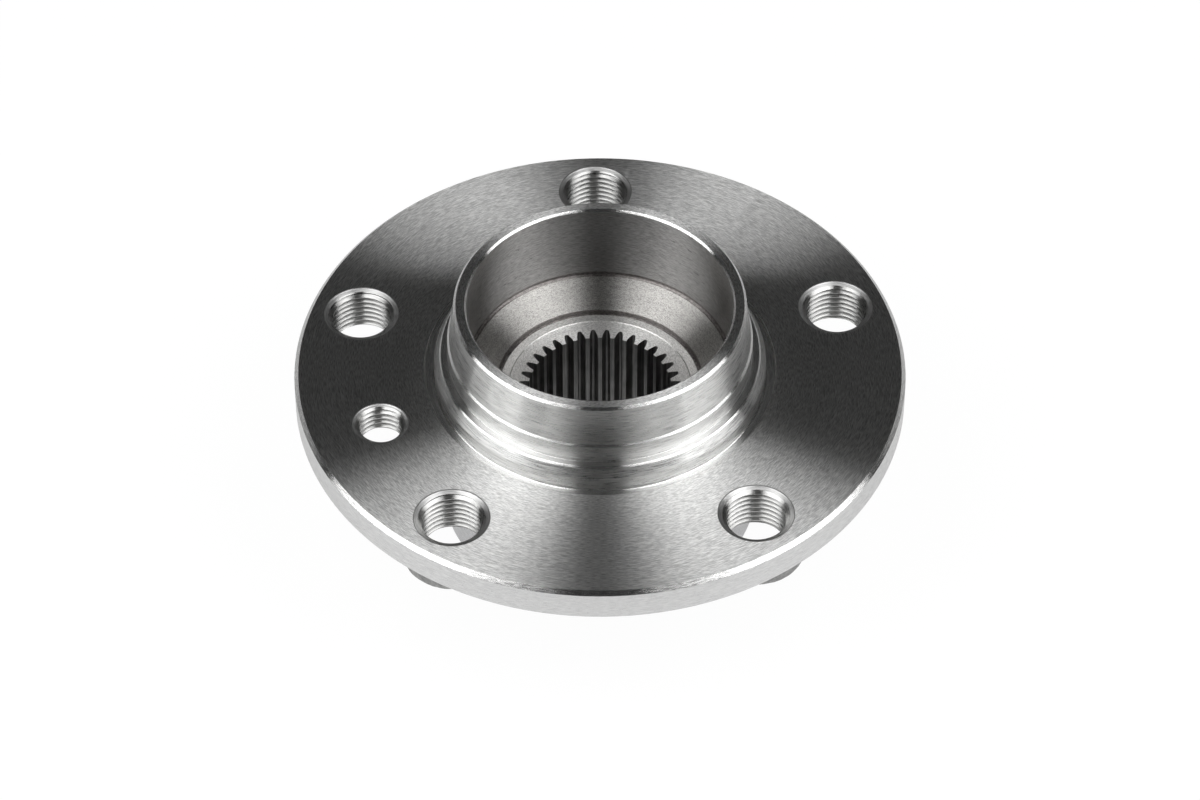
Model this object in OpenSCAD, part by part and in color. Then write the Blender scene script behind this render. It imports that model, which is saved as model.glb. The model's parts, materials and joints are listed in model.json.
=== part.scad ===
// Driven wheel hub: a forged and machined flange on a splined shank, carried in a sealed double-row ball bearing.
// Millimetres. +Z is the hub's axis towards the wheel, and the origin is the centre of the register for the brake
// disc, in the plane of the wheel face. Outboard means towards the wheel, inboard away from it.

/* [Flange] */
// Width of the land between the countersink of a bolt hole and the rim
rim_land = 3.9; // [2:0.1:8]
// Thickness of the flange at its rim
flange_t = 8.4; // [7.4:0.1:10]
// Chamfer round the edge of the wheel face
face_chamfer = 1; // [0.4:0.1:1.6]
// Chamfer round the back edge of the rim
back_chamfer = 0.4; // [0.2:0.1:1]
// How far the shoulder that the bearing seats against stays inside the inner ring's outside
shoulder_inset = 1.1; // [0.6:0.1:2]
// How far that shoulder stands out from the back of the flange
shoulder_h = 2.6; // [2:0.1:4]
// Fillet between that shoulder and the back of the flange
shoulder_fillet = 1.4; // [0.6:0.1:1.8]

/* [Wheel bolt holes] */
// Number of threaded holes
bolt_count = 5; // [4:1:6]
// Diameter of the bolt circle
bolt_circle_d = 120; // [116:0.5:121]
// Angle of the first hole from +X
bolt_phase = 91.1; // [0:0.1:360]
// Diameter at the roots of the bolt thread
bolt_thread_d = 14; // [12:0.5:15]
// Width of the countersink beyond the thread, on each side
bolt_countersink = 1.9; // [0.8:0.1:2.2]
// Angle across the countersinks of all the threaded holes
countersink_angle = 120; // [90:5:125]
// Strip of flat left between a forged boss and the back edge of the rim
boss_margin = 0.3; // [0.2:0.1:2]
// Height of the boss behind the flange
boss_h = 4.1; // [2:0.1:6]
// Round on the edge of the boss
boss_round = 1.2; // [0.4:0.1:1.8]

/* [Forged web behind the flange] */
// Radial gap between the bearing and the web
web_clearance = 2.5; // [1.5:0.1:4]
// Width of the ring that joins the ribs
web_ring_w = 4; // [3:0.1:5]
// Height of that ring behind the flange
web_ring_h = 2.8; // [2.4:0.1:3.4]
// Height of the ribs behind the flange
rib_h = 2.1; // [1:0.1:2.2]
// Width of a rib where it meets the ring
rib_root_w = 20; // [16:0.5:22]
// Width of a rib at its boss
rib_tip_w = 15; // [10:0.5:20]

/* [Locating screw hole] */
// How far the hole stands inside the bolt circle
locator_inset = 4.8; // [2:0.1:6]
// Angle of the hole from +X
locator_angle = 200.3; // [195:0.1:205]
// Diameter at the roots of its thread
locator_thread_d = 10; // [8:0.5:11]
// Width of its countersink beyond the thread, on each side
locator_countersink = 1.6; // [0.6:0.1:2]

/* [Collar] */
// Diameter of the spigot that centres the wheel
spigot_d = 72.5; // [70:0.1:74]
// Width of the ledge at the foot of the spigot
ledge_w = 1.55; // [0.8:0.05:2]
// Height of the ledge above the wheel face
ledge_h = 5; // [4:0.1:6]
// How far the register for the brake disc stands out past the ledge
register_step = 1.7; // [1:0.05:2.4]
// Height of that register above the wheel face
register_h = 2.45; // [2:0.05:3]
// Height of the top of the spigot
spigot_h = 9.7; // [8:0.1:11]
// Step from the spigot to the lead-in above it
spigot_step = 0.5; // [0.2:0.1:0.8]
// Height of the collar's lip above the wheel face
lip_h = 20.95; // [16:0.05:24]
// How much the lead-in narrows from the spigot to the lip, on each side
lead_in = 1.15; // [0.4:0.05:1.6]
// Thickness of the collar's wall at the lip
lip_w = 3.1; // [2:0.1:4]
// Chamfer on the outside of the lip
lip_chamfer = 0.6; // [0.2:0.1:0.8]
// Depth of the relief groove round the foot of the collar
groove_depth = 1.3; // [0.6:0.1:2]
// Width of that groove
groove_w = 2.2; // [1.4:0.1:3]
// Fillet at the foot of the groove
groove_fillet = 0.5; // [0.2:0.1:0.6]

/* [Recess] */
// Chamfer at the mouth of the recess
recess_chamfer = 0.5; // [0.2:0.1:0.8]
// Depth below the wheel face at which the recess wall ends
recess_depth = 0.3; // [0:0.1:1]
// Depth of the foot of the conical floor
cone_foot_depth = 6.2; // [5.5:0.1:6.6]
// Width of the turned seat for the axle nut
nut_seat_w = 2.2; // [1.6:0.1:3]
// Depth of that seat
nut_seat_depth = 7; // [6.8:0.1:8]
// Width of the groove round the seat
seat_groove_w = 0.8; // [0.5:0.1:1.5]
// Depth of that groove
seat_groove_depth = 0.6; // [0.3:0.1:1]
// Width of the step between the seat and the roots of the spline
seat_step_w = 2.3; // [1.5:0.1:2.8]
// Depth of that step
seat_step_depth = 0.2; // [0.1:0.05:0.4]

/* [Spline] */
// Number of teeth
spline_teeth = 36; // [30:1:40]
// Diameter at the roots of the teeth
spline_root_d = 39; // [38:0.1:40]
// Diameter at the tips of the teeth
spline_tip_d = 34.4; // [34:0.1:35.5]
// Pressure angle of the involute flanks
spline_pressure_angle = 20; // [18:0.5:24]
// Height of the round at the roots of the teeth
spline_root_round = 0.55; // [0.3:0.05:0.65]
// How far the step slopes down from its edge to the tips of the teeth
spline_lead_depth = 0.8; // [0.5:0.1:1.5]

/* [Bearing] */
// Bore of the inner rings, which is the diameter of the shank
bearing_bore = 47; // [46:0.5:48]
// Outside diameter of the outer ring
bearing_od = 76; // [75:0.5:78]
// Diameter of a ball
ball_d = 8.7; // [8:0.1:9]
// Number of balls in each row
ball_count = 15; // [12:1:16]
// Distance between the two rows of balls
row_gap = 11.2; // [10.6:0.1:12.4]
// Contact angle of the balls
contact_angle = 35; // [25:1:40]
// How much the radius of a raceway exceeds that of a ball
race_relief = 0.17; // [0.12:0.01:0.25]
// Gap between a ball and its raceways
race_clearance = 0.02; // [0.01:0.01:0.05]
// How far the outboard inner ring stands out past the outer ring
outboard_stand = 1; // [0.5:0.1:2]
// How far the inboard inner ring stands out past the outer ring
inboard_stand = 3; // [2.4:0.1:4]
// How far the shank's end stays short of the inboard inner ring
shank_short = 0.5; // [0.2:0.1:1]
// Chamfer on the outer corners of the rings
ring_chamfer = 0.8; // [0.4:0.1:1]

/* [Cages] */
// Radial thickness of a cage
cage_t = 2.6; // [2.2:0.1:2.8]
// Thickness of the cage's rim past the balls
cage_rim = 1.1; // [0.8:0.1:1.5]
// Gap between a ball and its pocket
pocket_clearance = 0.15; // [0.1:0.05:0.25]
// How far the prongs reach past the middle of the balls
prong_reach = 1.4; // [1:0.1:1.8]
// Width of the slot between two pairs of prongs
prong_slot = 1.4; // [0.8:0.1:1.8]

/* [Seals] */
// Gap between a cage and the seal beside it
seal_gap = 0.7; // [0.5:0.1:1]
// Width of a seal
seal_w = 3.7; // [3.4:0.1:4.5]
// How far a seal lies below the face of the outer ring
seal_inset = 0.4; // [0.2:0.1:0.8]
// Thickness of the seal's steel case
case_t = 0.8; // [0.6:0.1:1]
// Thickness of the flinger's steel
flinger_t = 0.6; // [0.5:0.1:0.8]
// Gap at the tips of the rubber lips
seal_clearance = 0.1; // [0.05:0.01:0.15]
// Radial gap between the flinger's rim and the case
labyrinth_gap = 0.5; // [0.3:0.1:0.7]
// Thickness of a rubber lip
lip_t = 0.5; // [0.4:0.05:0.6]
// Thickness of the magnetic encoder ring
encoder_t = 0.9; // [0.6:0.1:1.2]

/* [Clip between the inner rings] */
// Width of the clip
clip_w = 3; // [2:0.1:4]
// Radial thickness of the clip
clip_t = 0.8; // [0.5:0.1:1]
// Gap round the clip in its groove
clip_clearance = 0.1; // [0.05:0.01:0.2]
// Width of the split in the clip
clip_split = 2.5; // [1:0.1:5]

/* [Hidden] */
// The two sides of the bearing
outboard = 1;
inboard = -1;
outboard_balls = [for (i = [1:ball_count]) str("outboard_ball_", i < 10 ? "0" : "", i)];
inboard_balls = [for (i = [1:ball_count]) str("inboard_ball_", i < 10 ? "0" : "", i)];
$fn = 96;
// Overlap that lets one solid run into the next, or a cut run out of its face
over = 1;

// Radii of the hub
bolt_circle_r = bolt_circle_d / 2;
flange_r = bolt_circle_r + bolt_thread_d / 2 + bolt_countersink + rim_land;
locator_r = bolt_circle_r - locator_inset;
shank_r = bearing_bore / 2;
spigot_r = spigot_d / 2;
ledge_r = spigot_r + ledge_w;
ledge_chamfer = 0.4;
register_r = ledge_r + register_step;
lead_foot_r = spigot_r - spigot_step;
lip_r = lead_foot_r - lead_in;
recess_r = lip_r - lip_w;
groove_r = register_r + groove_w;
groove_edge = 0.3;
spline_tip_r = spline_tip_d / 2;
spline_root_r = spline_root_d / 2;
seat_step_r = spline_root_r + seat_step_w;
nut_seat_r = seat_step_r + nut_seat_w;
cone_foot_r = nut_seat_r + seat_groove_w;

// Depths of the hub below the wheel face
boss_depth = flange_t + boss_h;
boss_r = flange_r - back_chamfer - boss_margin - bolt_circle_r;
shoulder_depth = flange_t + shoulder_h;
step_depth = nut_seat_depth + seat_step_depth;
tooth_depth = step_depth + spline_lead_depth;
// How far the countersink at the inboard end of the spline reaches past the roots of its teeth
spline_entry = 0.3;

// The bearing's own measures: u runs from the plane between the rows towards either side
pitch_r = (bearing_bore + bearing_od) / 4;
ball_r = ball_d / 2;
row_u = row_gap / 2;
race_r = ball_r + race_relief;
race_shift = race_relief - race_clearance;
// Angle from the ball's radial line at which each shoulder of a raceway ends
high_shoulder_angle = 60;
low_shoulder_angle = 40;
inner_land_r = pitch_r - ball_r * cos(high_shoulder_angle);
inner_low_r = pitch_r - ball_r * cos(low_shoulder_angle);
shoulder_r = inner_land_r - shoulder_inset;
outer_rib_r = pitch_r + ball_r * cos(high_shoulder_angle);
outer_low_r = pitch_r + ball_r * cos(low_shoulder_angle);
seal_seat_step = 0.6;
seal_seat_r = outer_low_r + seal_seat_step;
cage_end_u = row_u + ball_r + pocket_clearance + cage_rim;
seal_start_u = cage_end_u + seal_gap;
seal_end_u = seal_start_u + seal_w;
outer_half_w = seal_end_u + seal_inset;
outboard_inner_w = outer_half_w + outboard_stand;
inboard_inner_w = outer_half_w + inboard_stand;
bearing_mid_z = -shoulder_depth - outboard_inner_w;
shank_end_z = bearing_mid_z - inboard_inner_w + shank_short;

// Radii of a seal
case_in_r = seal_seat_r - case_t;
flinger_sleeve_r = inner_land_r + flinger_t;
flinger_rim_r = case_in_r - labyrinth_gap;
case_foot_r = flinger_sleeve_r + 2;
clip_groove_r = shank_r + clip_t + 2 * clip_clearance;
clip_groove_u = clip_w / 2 + clip_clearance;

// Turns a half section, given as points of radius and height, into a ring
module turned(points) {
    rotate_extrude() polygon(points);
}

// Puts what is drawn for one side of the bearing in its place: u = 0 is the plane between the rows
module on_side(side) {
    translate([0, 0, bearing_mid_z]) mirror([0, 0, side == outboard ? 0 : 1]) children();
}

// Fills an inside corner with a fillet: the corner is at the origin and opens towards +X and +Y
module corner_fillet(radius) {
    difference() {
        translate([-0.01, -0.01]) square(radius + 0.01);
        translate([radius, radius]) circle(radius);
    }
}

// The half section that the lathe leaves on the hub
module hub_section() {
    entry = spline_root_r + spline_entry;
    polygon([
        [spline_tip_r, -tooth_depth],
        [seat_step_r, -step_depth],
        [seat_step_r + 0.1, -nut_seat_depth],
        [nut_seat_r, -nut_seat_depth],
        [nut_seat_r, -nut_seat_depth - seat_groove_depth],
        [cone_foot_r, -nut_seat_depth - seat_groove_depth],
        [cone_foot_r, -cone_foot_depth],
        [recess_r - 0.4, -recess_depth - 0.5],
        [recess_r, -recess_depth],
        [recess_r, lip_h - recess_chamfer],
        [recess_r + recess_chamfer, lip_h],
        [lip_r - lip_chamfer, lip_h],
        [lip_r, lip_h - lip_chamfer],
        [lead_foot_r, spigot_h + spigot_step],
        [spigot_r, spigot_h],
        [spigot_r, ledge_h],
        [ledge_r, ledge_h],
        [ledge_r + ledge_chamfer, ledge_h - ledge_chamfer],
        [register_r - 0.3, register_h + 0.5],
        [register_r, register_h],
        [register_r, -groove_depth],
        [groove_r, -groove_depth],
        [groove_r, -groove_edge],
        [groove_r + groove_edge, 0],
        [flange_r - face_chamfer, 0],
        [flange_r, -face_chamfer],
        [flange_r, back_chamfer - flange_t],
        [flange_r - back_chamfer, -flange_t],
        [shoulder_r, -flange_t],
        [shoulder_r, -shoulder_depth],
        [shank_r, -shoulder_depth],
        [shank_r, shank_end_z + ring_chamfer],
        [shank_r - ring_chamfer, shank_end_z],
        [entry, shank_end_z],
        [spline_tip_r, shank_end_z + entry - spline_tip_r]
    ]);
    translate([register_r, -groove_depth]) corner_fillet(groove_fillet);
    translate([shoulder_r, -flange_t]) mirror([0, 1]) corner_fillet(shoulder_fillet);
}

// Half the angle that a space between two teeth takes up at a radius, from the involute of its flanks
function involute(angle) = tan(angle) * 180 / PI - angle;
function half_space(radius) =
    let (pitch = (spline_root_r + spline_tip_r) / 2,
        base = pitch * cos(spline_pressure_angle))
    90 / spline_teeth + involute(spline_pressure_angle) - involute(acos(min(1, base / radius)));
function space_point(radius, side) =
    let (half = max(half_space(radius), 0.6)) radius * [cos(side * half), sin(side * half)];

// One space of the spline, with rounded root, as the broach cuts it
module spline_space() {
    round_foot = space_point(spline_root_r - spline_root_round, 1);
    mid_r = (spline_tip_r + round_foot.x) / 2;
    inside_r = spline_tip_r - 0.6;
    linear_extrude(-shank_end_z) polygon(concat(
        [for (r = [inside_r, mid_r]) space_point(r, -1)],
        [for (a = [-90:30:90])
            [round_foot.x + (spline_root_r - round_foot.x) * cos(a), round_foot.y * sin(a)]],
        [for (r = [mid_r, inside_r]) space_point(r, 1)]));
}

// A rounded boss, which stands down from the back of the flange
module boss() {
    draft = 0.4;
    foot = boss_r - draft;
    rotate_extrude() {
        polygon([
            [0, over - flange_t],
            [boss_r, over - flange_t],
            [foot, boss_round - boss_depth],
            [foot - boss_round, -boss_depth],
            [0, -boss_depth]
        ]);
        translate([foot - boss_round, boss_round - boss_depth]) circle(boss_round);
    }
}

// The ring and the ribs that join the bosses behind the flange
module forged_web() {
    ring_in = bearing_od / 2 + web_clearance;
    ring_out = ring_in + web_ring_w;
    edge = 0.4;
    turned([
        [ring_in, over - flange_t],
        [ring_in, edge - flange_t - web_ring_h],
        [ring_in + edge, -flange_t - web_ring_h],
        [ring_out - edge, -flange_t - web_ring_h],
        [ring_out, edge - flange_t - web_ring_h],
        [ring_out, over - flange_t]
    ]);
    for (i = [0:bolt_count - 1])
        rotate(bolt_phase + i * 360 / bolt_count)
            translate([0, 0, -flange_t - rib_h])
                linear_extrude(rib_h + over)
                    polygon([
                        [ring_in + 2, -rib_root_w / 2],
                        [bolt_circle_r, -rib_tip_w / 2],
                        [bolt_circle_r, rib_tip_w / 2],
                        [ring_in + 2, rib_root_w / 2]
                    ]);
}

// A threaded hole as drilled to the roots of its thread, countersunk at both ends
module drilled_hole(thread_d, countersink, depth) {
    far_sink = 0.8;
    radius = thread_d / 2;
    slope = tan(countersink_angle / 2);
    turned([
        [0, over],
        [radius + countersink + over * slope, over],
        [radius, -countersink / slope],
        [radius, far_sink - depth],
        [radius + far_sink + over, -depth - over],
        [0, -depth - over]
    ]);
}

module hub() {
    color("silver") difference() {
        union() {
            rotate_extrude() hub_section();
            forged_web();
            for (i = [0:bolt_count - 1])
                rotate(bolt_phase + i * 360 / bolt_count)
                    translate([bolt_circle_r, 0, 0])
                        boss();
        }
        for (i = [0:bolt_count - 1])
            rotate(bolt_phase + i * 360 / bolt_count)
                translate([bolt_circle_r, 0, 0])
                    drilled_hole(bolt_thread_d, bolt_countersink, boss_depth);
        rotate(locator_angle)
            translate([locator_r, 0, 0])
                drilled_hole(locator_thread_d, locator_countersink, flange_t);
        for (i = [0:spline_teeth - 1])
            rotate((i + 0.5) * 360 / spline_teeth)
                translate([0, 0, shank_end_z - over])
                    spline_space();
    }
}

// The raceways' arcs: their centres are shifted from the ball's centre along its line of contact
module inner_race() {
    translate([pitch_r + race_shift * cos(contact_angle), row_u - race_shift * sin(contact_angle)])
        circle(race_r);
}

module outer_race() {
    translate([pitch_r - race_shift * cos(contact_angle), row_u + race_shift * sin(contact_angle)])
        circle(race_r);
}

module outer_half_section() {
    bearing_r = bearing_od / 2;
    difference() {
        polygon([
            [outer_rib_r, 0],
            [bearing_r, 0],
            [bearing_r, outer_half_w - ring_chamfer],
            [bearing_r - ring_chamfer, outer_half_w],
            [seal_seat_r + seal_inset, outer_half_w],
            [seal_seat_r, seal_end_u],
            [seal_seat_r, seal_start_u],
            [outer_low_r, seal_start_u],
            [outer_low_r, row_u],
            [outer_rib_r, row_u]
        ]);
        outer_race();
    }
}

module outer_ring() {
    color("lightsteelblue")
        translate([0, 0, bearing_mid_z])
            rotate_extrude() {
                outer_half_section();
                mirror([0, 1]) outer_half_section();
            }
}

module inner_ring(side, width) {
    land_chamfer = 0.4;
    color("lightsteelblue") on_side(side) rotate_extrude() difference() {
        polygon([
            [clip_groove_r, 0],
            [inner_low_r, 0],
            [inner_low_r, row_u],
            [inner_land_r, row_u],
            [inner_land_r, width - land_chamfer],
            [inner_land_r - land_chamfer, width],
            [shank_r + land_chamfer, width],
            [shank_r, width - land_chamfer],
            [shank_r, clip_groove_u],
            [clip_groove_r, clip_groove_u]
        ]);
        inner_race();
    }
}

module inner_ring_clip() {
    clip_r = shank_r + clip_clearance;
    color("dimgray") translate([0, 0, bearing_mid_z - clip_w / 2]) difference() {
        turned([[clip_r, 0], [clip_r + clip_t, 0], [clip_r + clip_t, clip_w], [clip_r, clip_w]]);
        translate([shank_r, -clip_split / 2, -over]) cube([clip_t + over, clip_split, clip_w + 2 * over]);
    }
}

// Angle of a ball round the hub: the inboard row stands half a step on
function ball_angle(side, i) = (i - 1 + (side == outboard ? 0 : 0.5)) * 360 / ball_count;

module cage(side) {
    in_r = pitch_r - cage_t / 2;
    out_r = pitch_r + cage_t / 2;
    color("khaki") on_side(side) difference() {
        turned([
            [in_r, row_u - prong_reach],
            [out_r, row_u - prong_reach],
            [out_r, cage_end_u],
            [in_r, cage_end_u]
        ]);
        for (i = [1:ball_count])
            rotate(ball_angle(side, i)) {
                translate([pitch_r, 0, row_u]) sphere(ball_r + pocket_clearance);
                rotate(180 / ball_count)
                    translate([in_r - over, -prong_slot / 2, 0])
                        cube([cage_t + 2 * over, prong_slot, row_u + ball_r / 2]);
            }
    }
}

module ball(side, i) {
    color("gainsboro") on_side(side)
        rotate(ball_angle(side, i))
            translate([pitch_r, 0, row_u])
                sphere(ball_r);
}

// The steel case, pressed into the outer ring
module seal_case(side) {
    color("slategray") on_side(side) turned([
        [case_foot_r, seal_start_u],
        [seal_seat_r, seal_start_u],
        [seal_seat_r, seal_end_u],
        [case_in_r, seal_end_u],
        [case_in_r, seal_start_u + case_t],
        [case_foot_r, seal_start_u + case_t]
    ]);
}

// The rubber on the case, with one lip to the flinger's sleeve and one to its disc
module seal_lips(side) {
    root_u = seal_start_u + case_t;
    sleeve_gap_r = flinger_sleeve_r + seal_clearance;
    disc_gap_u = seal_end_u - flinger_t - seal_clearance;
    color("darkslategray") on_side(side) turned([
        [sleeve_gap_r + 0.2, seal_start_u],
        [case_foot_r, seal_start_u],
        [case_foot_r, root_u],
        [case_in_r, root_u],
        [case_in_r, root_u + lip_t],
        [case_foot_r + 1.2 + lip_t, root_u + lip_t],
        [case_foot_r + 1.9 + lip_t, disc_gap_u],
        [case_foot_r + 1.9, disc_gap_u],
        [case_foot_r + 1.2 - lip_t, root_u + lip_t],
        [sleeve_gap_r + 1.1, root_u + lip_t],
        [sleeve_gap_r + lip_t, root_u + 1.2],
        [sleeve_gap_r, root_u + 1.2],
        [sleeve_gap_r + 0.2, root_u]
    ]);
}

// The steel flinger, pressed on the inner ring
module flinger(side) {
    color("lightslategray") on_side(side) turned([
        [inner_land_r, seal_start_u + case_t],
        [flinger_sleeve_r, seal_start_u + case_t],
        [flinger_sleeve_r, seal_end_u - flinger_t],
        [flinger_rim_r, seal_end_u - flinger_t],
        [flinger_rim_r, seal_end_u],
        [inner_land_r, seal_end_u]
    ]);
}

// The magnetic ring on the inboard flinger, which a wheel speed sensor reads
module encoder_ring() {
    color("black") on_side(inboard) turned([
        [flinger_sleeve_r, seal_end_u],
        [flinger_rim_r, seal_end_u],
        [flinger_rim_r, seal_end_u + encoder_t - 0.2],
        [flinger_rim_r - 0.2, seal_end_u + encoder_t],
        [flinger_sleeve_r, seal_end_u + encoder_t]
    ]);
}

hub();
outer_ring();
inner_ring(outboard, outboard_inner_w);  // outboard_inner_ring
inner_ring(inboard, inboard_inner_w);  // inboard_inner_ring
inner_ring_clip();
cage(outboard);  // outboard_cage
cage(inboard);  // inboard_cage
seal_case(outboard);  // outboard_seal_case
seal_case(inboard);  // inboard_seal_case
seal_lips(outboard);  // outboard_seal_lips
seal_lips(inboard);  // inboard_seal_lips
flinger(outboard);  // outboard_flinger
flinger(inboard);  // inboard_flinger
encoder_ring();
for (i = [1:ball_count]) {
    ball(outboard, i);
    ball(inboard, i);
}
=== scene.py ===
# Driven wheel hub with its bearing: the looks of every piece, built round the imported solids.
# Sizes are in millimetres, and each mesh is scaled to metres once, when it is made.
# +Z is the hub's axis towards the wheel, and z = 0 is the wheel face.
import json
import math

import bmesh
import bpy
from mathutils import Matrix, Vector, noise


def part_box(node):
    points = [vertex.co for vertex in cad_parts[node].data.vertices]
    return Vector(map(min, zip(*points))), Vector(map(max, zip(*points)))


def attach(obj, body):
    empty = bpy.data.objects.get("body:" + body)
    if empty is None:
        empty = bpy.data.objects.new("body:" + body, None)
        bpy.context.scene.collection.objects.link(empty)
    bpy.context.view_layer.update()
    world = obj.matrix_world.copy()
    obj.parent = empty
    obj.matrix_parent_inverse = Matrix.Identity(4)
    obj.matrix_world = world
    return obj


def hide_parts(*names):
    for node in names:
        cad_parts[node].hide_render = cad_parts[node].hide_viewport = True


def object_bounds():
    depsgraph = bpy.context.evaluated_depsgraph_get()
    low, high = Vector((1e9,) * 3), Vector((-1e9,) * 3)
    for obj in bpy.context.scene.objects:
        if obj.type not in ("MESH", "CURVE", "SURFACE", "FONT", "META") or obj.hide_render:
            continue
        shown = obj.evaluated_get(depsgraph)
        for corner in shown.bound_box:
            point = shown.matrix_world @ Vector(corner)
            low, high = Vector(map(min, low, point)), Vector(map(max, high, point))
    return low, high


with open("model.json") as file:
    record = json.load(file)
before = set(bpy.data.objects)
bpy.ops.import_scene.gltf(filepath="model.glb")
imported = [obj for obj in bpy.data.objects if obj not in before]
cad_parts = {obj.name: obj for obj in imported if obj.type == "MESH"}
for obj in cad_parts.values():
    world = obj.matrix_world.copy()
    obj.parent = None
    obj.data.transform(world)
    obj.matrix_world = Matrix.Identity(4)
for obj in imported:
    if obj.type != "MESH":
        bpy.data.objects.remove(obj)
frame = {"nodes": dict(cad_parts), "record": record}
cad_low, cad_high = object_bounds()
MM = 0.001

# Sizes that the frame gives
mounts = {mount["name"]: mount for mount in frame["record"]["mounts"]}


def mount_radius(name):
    return mounts[name]["dims"]["r_mm"]


def span(node):
    """A node's outside radius and its lowest and highest z, in millimetres."""
    low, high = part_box(node)
    return high.x / MM, low.z / MM, high.z / MM


FLANGE_R, SHANK_END, LIP_TOP = span("hub")
SPIGOT_R = mount_radius("wheel_spigot")
REGISTER_R = mount_radius("disc_register")
RECESS_R = mount_radius("nut_recess")
BOLT_CIRCLE_R = mounts["wheel_bolts"]["dims"]["pcd_mm"] / 2
BOLT_COUNT = mounts["wheel_bolts"]["dims"]["count"]
BOLT_THREAD_R = mounts["wheel_bolts"]["dims"]["hole_r_mm"]
LOCATOR_THREAD_R = mount_radius("locating_screw")
LOCATOR_PLACE = Vector(mounts["locating_screw"]["pos_m"]) / MM
BEARING_R, RING_LOW, RING_HIGH = span("outer_ring")
BEARING_MID = (RING_LOW + RING_HIGH) / 2
RING_HALF = (RING_HIGH - RING_LOW) / 2

# Flange
FLANGE_T = 8.4
FACE_CHAMFER = 1.0
BACK_CHAMFER = 0.4
SHOULDER_R = 27.475
SHOULDER_DEPTH = 11.0
SHOULDER_FILLET = 1.4
BOLT_PHASE = math.radians(91.1)
BOLT_SINK = 1.9
LOCATOR_SINK = 1.6
SINK_SLOPE = math.tan(math.radians(60))
FAR_SINK = 0.8
BOSS_R = 12.1
BOSS_DEPTH = 12.5
WEB_IN_R = 40.5
WEB_OUT_R = 44.5
WEB_DEPTH = 11.2
RIB_DEPTH = 10.5
RIB_START_R = 42.5
RIB_ROOT_W = 20.0
RIB_TIP_W = 15.0
BOSS_TAPER = 0.4
BOSS_ROUND = 0.8

# Forging behind the flange: its reach into the flange, and the size and height of its skin's lumps
FORGING_OVERLAP = 1.6
MELT_SIZE = 0.65
SKIN_SIZE = 3.5
SKIN_HEIGHT = 0.09

# Collar
SPIGOT_TOP = 9.7
SPIGOT_STEP = 0.5
LEAD_IN = 1.15
LIP_CHAMFER = 0.6
LEDGE_TOP = 5.0
LEDGE_W = 1.55
LEDGE_BEVEL = 0.4
REGISTER_TOP = 2.45
REGISTER_BEVEL_W = 0.3
REGISTER_BEVEL_H = 0.5
GROOVE_DEPTH = 1.3
GROOVE_W = 2.2
GROOVE_ROUND = 0.5
GROOVE_BEVEL = 0.3

# Recess and spline
RECESS_CHAMFER = 0.5
RECESS_DEPTH = 0.3
FOOT_GROOVE = 0.2
FOOT_W = 0.3
CONE_RIM_DEPTH = 0.38
CONE_FOOT_R = 24.8
CONE_FOOT_DEPTH = 6.2
SEAT_R = 24.0
SEAT_DEPTH = 7.0
SEAT_GROOVE_DEPTH = 0.6
LAND_R = 21.8
LAND_DEPTH = 7.2
LAND_STEP = 0.15
SPLINE_TEETH = 36
SPLINE_ROOT_R = 19.5
SPLINE_TIP_R = 17.2
SPLINE_PRESSURE = math.radians(20)
SPLINE_ROOT_ROUND = 0.55
SPLINE_ENTRY = 0.3
TOOTH_END_DEPTH = 8.0
SHANK_R = 23.5
SHANK_CHAMFER = 0.8

# Threads, whose ridge is let a little into the bore and is wide at its root and narrow at its crest
THREAD_PITCH = 1.5
THREAD_DEPTH = 0.92
THREAD_LET_IN = 0.02
THREAD_ROOT_SHARE = 0.8
THREAD_CREST_SHARE = 0.16
THREAD_FADE_SHARE = 1.2

# Bearing, where u runs from the plane between the rows towards either side
OUTBOARD = 1
INBOARD = -1
BALL_COUNT = 15
BALL_R = 4.35
PITCH_R = 30.75
ROW_U = 5.6
RACE_R = 4.52
RACE_SHIFT = 0.15
CONTACT = math.radians(35)
LAND_OUT_R = 32.925
LOW_OUT_R = 34.082
SEAL_SEAT_R = 34.682
LAND_IN_R = 28.575
LOW_IN_R = 27.418
CLIP_GROOVE_R = 24.5
CLIP_GROOVE_U = 1.6
CAGE_T = 2.6
CAGE_START_U = 4.2
CAGE_END_U = 11.2
POCKET_R = 4.5
PRONG_SLOT = 1.4
SEAL_START_U = 11.9
SEAL_END_U = 15.6
CASE_T = 0.8
FLINGER_T = 0.6
FLINGER_RIM_R = 33.382
SLEEVE_R = LAND_IN_R + FLINGER_T
ENCODER_T = 0.9
RING_CHAMFER = 0.8
SEAT_LEAD_IN = 0.4
INNER_CHAMFER = 0.4
INNER_PROUD = {OUTBOARD: 1, INBOARD: 3}

# Rounds of fresh and of worn edges, and the angle from which an edge stays sharp
EDGE = 0.12
WORN_EDGE = 0.25
SHARP_ANGLE = math.radians(35)

# How far a cutter reaches past what it cuts
CLEAR = 1

# Segments round the axis
TURNED_STEPS = 288
FINE_STEPS = 240
BEARING_STEPS = 180
WEB_STEPS = 120
HOLE_STEPS = 72
BOSS_STEPS = 48
HELIX_STEPS = 56
BALL_STEPS = 40


# Meshes

def link(name, mesh):
    piece = bpy.data.objects.new(name, mesh)
    bpy.context.scene.collection.objects.link(piece)
    return piece


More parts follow.
